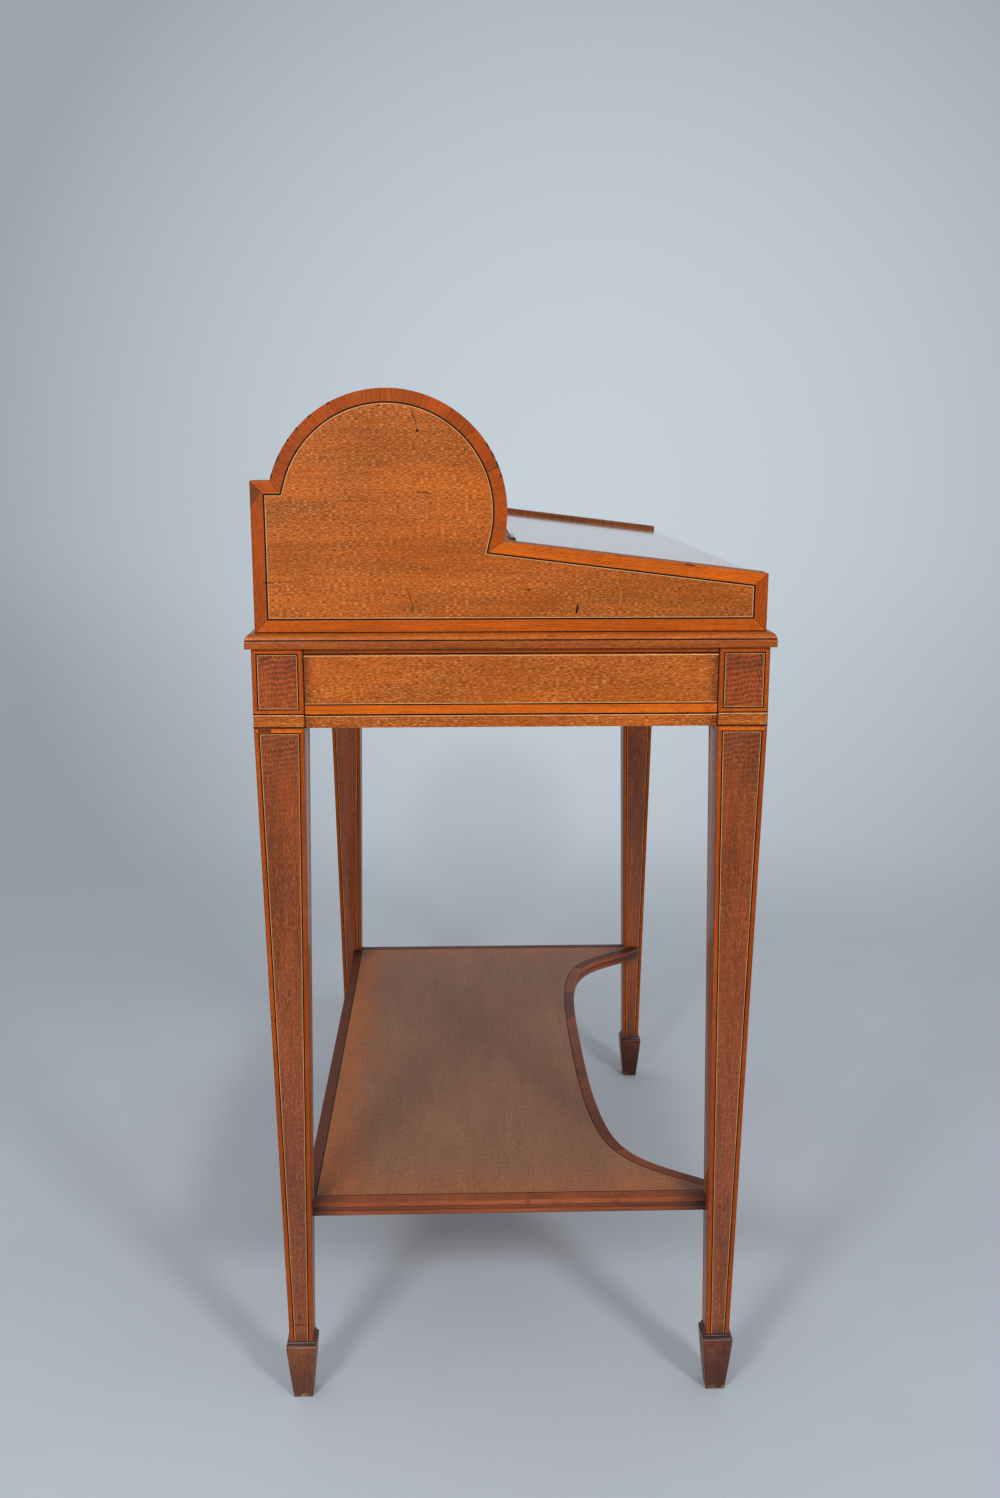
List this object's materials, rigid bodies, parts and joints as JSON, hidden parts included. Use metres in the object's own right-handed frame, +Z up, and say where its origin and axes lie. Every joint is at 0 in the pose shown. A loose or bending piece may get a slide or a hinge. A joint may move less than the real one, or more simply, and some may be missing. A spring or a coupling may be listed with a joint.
{
  "type": "cylinder desk",
  "caption": "Lady's writing desk on four tapered legs, with a roll-back cylinder fall over pigeonholes, a hinged slope, a frieze drawer and a concave undershelf.",
  "frame": {"origin": "middle of the desk's bounding box on the floor, under the feet", "axes": "+Z up; the sitter's side, with the slope and the frieze drawer, faces -Y; +X along the width, to the sitter's right"},
  "size_m": [0.76, 0.468, 0.96],
  "materials": {
    "mahogany": "satin",
    "dark_mahogany": "satin",
    "satinwood": "satin",
    "oak": "matte",
    "brass": "polished"
  },
  "bodies": {
    "stand": {"leg_front_left": "mahogany", "leg_front_right": "mahogany", "leg_back_left": "mahogany", "leg_back_right": "mahogany", "foot_front_left": "dark_mahogany", "foot_front_right": "dark_mahogany", "foot_back_left": "dark_mahogany", "foot_back_right": "dark_mahogany", "side_rail_left": "mahogany", "side_rail_right": "mahogany", "back_rail": "mahogany", "lower_front_rail": "mahogany", "upper_front_rail": "mahogany", "drawer_runner_left": "oak", "drawer_runner_right": "oak", "deck_board": "mahogany", "moulding_front": "mahogany", "moulding_back": "mahogany", "moulding_left": "mahogany", "moulding_right": "mahogany", "undershelf": "dark_mahogany", "gable_left": "mahogany", "gable_right": "mahogany", "case_bottom": "oak", "back_board": "mahogany", "back_capping": "satinwood", "slope_front_rail": "satinwood", "hinge_rail": "mahogany", "well_back": "oak", "inner_floor": "mahogany", "nest_back": "oak", "nest_top": "mahogany", "nest_shelves": "satinwood", "nest_uprights": "satinwood", "nest_dividers": "satinwood", "nest_valances": "satinwood", "hinge_rail_leaves": "brass", "hinge_pins": "brass", "slope_lock": "brass", "slope_keyhole_plate": "brass"},
    "fall": {"cylinder_fall": "mahogany", "fall_knobs": "brass", "fall_keyhole_plate": "brass", "fall_lock": "brass"},
    "lid": {"slope_lid": "mahogany", "hinge_lid_leaves": "brass"},
    "frieze_drawer": {"frieze_drawer_front": "mahogany", "frieze_drawer_sides": "oak", "frieze_drawer_back": "oak", "frieze_drawer_bottom": "oak", "frieze_drawer_knobs": "brass", "frieze_drawer_lock": "brass", "frieze_drawer_keyhole_plate": "brass"},
    "left_letter_drawer": {"left_letter_drawer_front": "mahogany", "left_letter_drawer_tray": "oak", "left_letter_drawer_knob": "brass"},
    "right_letter_drawer": {"right_letter_drawer_front": "mahogany", "right_letter_drawer_tray": "oak", "right_letter_drawer_knob": "brass"}
  },
  "joints": [
    {"name": "fall_roll", "type": "hinge", "parent": "stand", "child": "fall", "pos_m": [0, 0.11, 0.858], "axis": [-1, 0, 0], "range_deg": [0, 110]},
    {"name": "lid_hinge", "type": "hinge", "parent": "stand", "child": "lid", "pos_m": [0, -0.001, 0.82654], "axis": [-1, 0, 0], "range_deg": [0, 75]},
    {"name": "frieze_drawer_slide", "type": "slide", "parent": "stand", "child": "frieze_drawer", "axis": [0, -1, 0], "range_m": [0, 0.3]},
    {"name": "left_letter_drawer_slide", "type": "slide", "parent": "stand", "child": "left_letter_drawer", "axis": [0, -1, 0], "range_m": [0, 0.045]},
    {"name": "right_letter_drawer_slide", "type": "slide", "parent": "stand", "child": "right_letter_drawer", "axis": [0, -1, 0], "range_m": [0, 0.045]}
  ]
}
